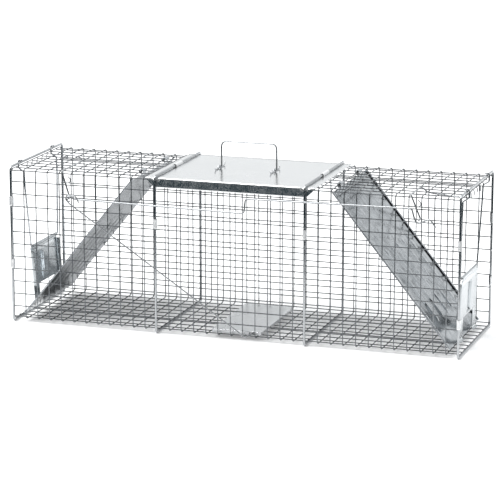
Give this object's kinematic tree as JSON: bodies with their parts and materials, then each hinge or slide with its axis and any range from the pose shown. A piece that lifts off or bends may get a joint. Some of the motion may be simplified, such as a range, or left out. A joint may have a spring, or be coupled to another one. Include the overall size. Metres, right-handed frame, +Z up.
{
  "type": "live catch trap",
  "caption": "Long welded-wire cage trap with a slanting sheet door and a hanging lock bar at each end, a floor treadle with its wire trigger linkage, and a guard plate with a carry handle.",
  "frame": {"origin": "middle of the outline on the ground, under the four hoops", "axes": "+X along the cage towards the right-hand door, +Y to the rear, +Z up; the trigger rods are on the -Y side"},
  "size_m": [0.9266, 0.2804, 0.3696],
  "materials": {
    "mesh": "galvanised",
    "rod": "galvanised",
    "plate": "galvanised",
    "door": "galvanised",
    "lock": "galvanised",
    "pan": "galvanised",
    "clip": "galvanised"
  },
  "bodies": {
    "cage": {"mesh_front": "mesh", "mesh_rear": "mesh", "mesh_ceiling": "mesh", "mesh_floor": "mesh", "hoop_1": "rod", "hoop_2": "rod", "hoop_3": "rod", "hoop_4": "rod", "clip_front_left_upper": "clip", "clip_front_left_lower": "clip", "clip_front_middle_left": "clip", "clip_front_middle_right": "clip", "clip_front_right_upper": "clip", "clip_front_right_lower": "clip", "clip_rear_right_upper": "clip", "clip_rear_right_lower": "clip", "clip_top_left": "clip", "clip_top_right": "clip", "guard_plate": "plate", "handle_staple_left": "rod", "handle_staple_right": "rod", "stop_hook_left": "rod", "stop_hook_right": "rod"},
    "door_left": {"door_left": "door"},
    "door_right": {"door_right": "door"},
    "lock_left": {"lock_bar_left": "rod", "lock_plate_left": "lock"},
    "lock_right": {"lock_bar_right": "rod", "lock_plate_right": "lock"},
    "treadle": {"treadle_pan": "pan"},
    "lever_left": {"lever_left": "rod"},
    "lever_right": {"lever_right": "rod"},
    "trigger": {"trigger_rod": "rod"},
    "link": {"link_rod": "rod"},
    "handle": {"handle": "rod"}
  },
  "joints": [
    {"name": "door_left_hinge", "type": "hinge", "parent": "cage", "child": "door_left", "pos_m": [-0.2032, 0.0043, 0.311], "axis": [0, 1, 0], "range_deg": [0, 46]},
    {"name": "door_right_hinge", "type": "hinge", "parent": "cage", "child": "door_right", "pos_m": [0.2032, 0.0043, 0.311], "axis": [0, -1, 0], "range_deg": [0, 46]},
    {"name": "lock_left_hinge", "type": "hinge", "parent": "cage", "child": "lock_left", "pos_m": [-0.4572, 0.0043, 0.3162], "axis": [0, 1, 0], "range_deg": [0, 80.6]},
    {"name": "lock_right_hinge", "type": "hinge", "parent": "cage", "child": "lock_right", "pos_m": [0.4572, 0.0043, 0.3162], "axis": [0, -1, 0], "range_deg": [0, 80.6]},
    {"name": "treadle_hinge", "type": "hinge", "parent": "cage", "child": "treadle", "pos_m": [0.0102, 0.1059, 0.0087], "axis": [-1, 0, 0], "range_deg": [0, 2.5]},
    {"name": "lever_left_hinge", "type": "hinge", "parent": "cage", "child": "lever_left", "pos_m": [-0.348, -0.0757, 0.3142], "axis": [0, 1, 0], "range_deg": [0, 8.1]},
    {"name": "lever_right_hinge", "type": "hinge", "parent": "cage", "child": "lever_right", "pos_m": [0.3607, -0.0857, 0.3142], "axis": [0, 1, 0], "range_deg": [0, 8.1]},
    {"name": "trigger_rod_slide", "type": "slide", "parent": "cage", "child": "trigger", "axis": [1, 0, 0], "range_m": [-0.0072, 0]},
    {"name": "link_rod_pivot", "type": "hinge", "parent": "lever_left", "child": "link", "pos_m": [-0.3315, -0.1367, 0.2615], "axis": [0, 1, 0], "range_deg": [-9.9, 0]},
    {"name": "handle_hinge", "type": "hinge", "parent": "cage", "child": "handle", "pos_m": [0, 0.0043, 0.3152], "axis": [1, 0, 0], "range_deg": [-85, 85]}
  ],
  "couplings": [
    {"joint": "lock_left_hinge", "follows": "door_left_hinge", "ratio": 1.75},
    {"joint": "lock_right_hinge", "follows": "door_right_hinge", "ratio": 1.75},
    {"joint": "lever_left_hinge", "follows": "treadle_hinge", "ratio": 3.2},
    {"joint": "lever_right_hinge", "follows": "treadle_hinge", "ratio": 3.2},
    {"joint": "trigger_rod_slide", "follows": "treadle_hinge", "m_per_rad": -0.16272},
    {"joint": "link_rod_pivot", "follows": "treadle_hinge", "ratio": -3.9}
  ]
}
